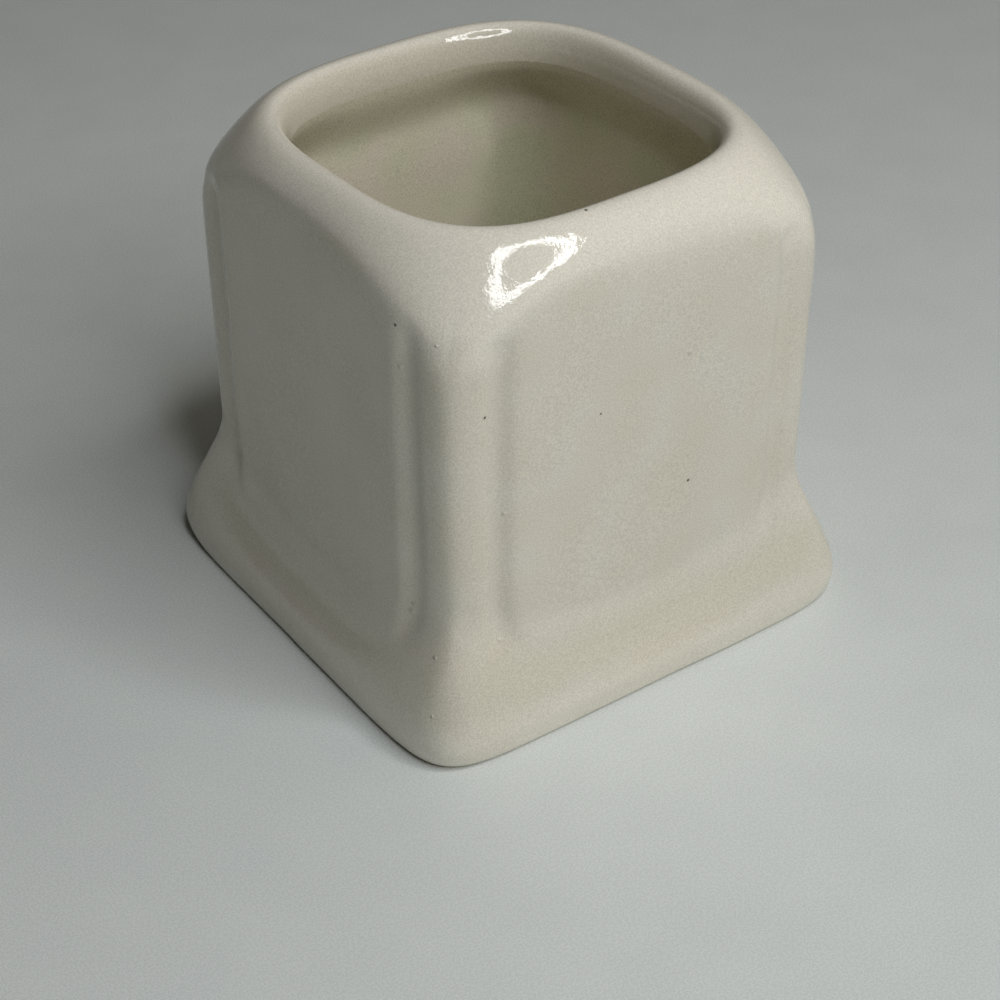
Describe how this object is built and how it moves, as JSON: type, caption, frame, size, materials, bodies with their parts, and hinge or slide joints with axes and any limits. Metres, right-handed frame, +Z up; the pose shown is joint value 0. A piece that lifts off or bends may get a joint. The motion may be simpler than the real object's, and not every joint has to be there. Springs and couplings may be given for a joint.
{
  "type": "toothpick holder",
  "caption": "Small square open pot in cream glazed ceramic, with a flared foot, rounded corner posts, raised arched panels and a soft squared mouth.",
  "frame": {"origin": "middle of the underside, on the plane that the pot stands on", "axes": "+Z up through the mouth; +X and +Y square to two of the four panels"},
  "size_m": [0.05, 0.05, 0.049],
  "materials": {
    "bisque_clay": "dry fired earthenware, matt",
    "outside_glaze": "cream gloss glaze with light orange peel",
    "inside_glaze": "cream glaze, thinner and less glossy than outside"
  },
  "bodies": {
    "root": {"clay_body": "bisque_clay", "outside_glaze": "outside_glaze", "inside_glaze": "inside_glaze"}
  },
  "joints": []
}
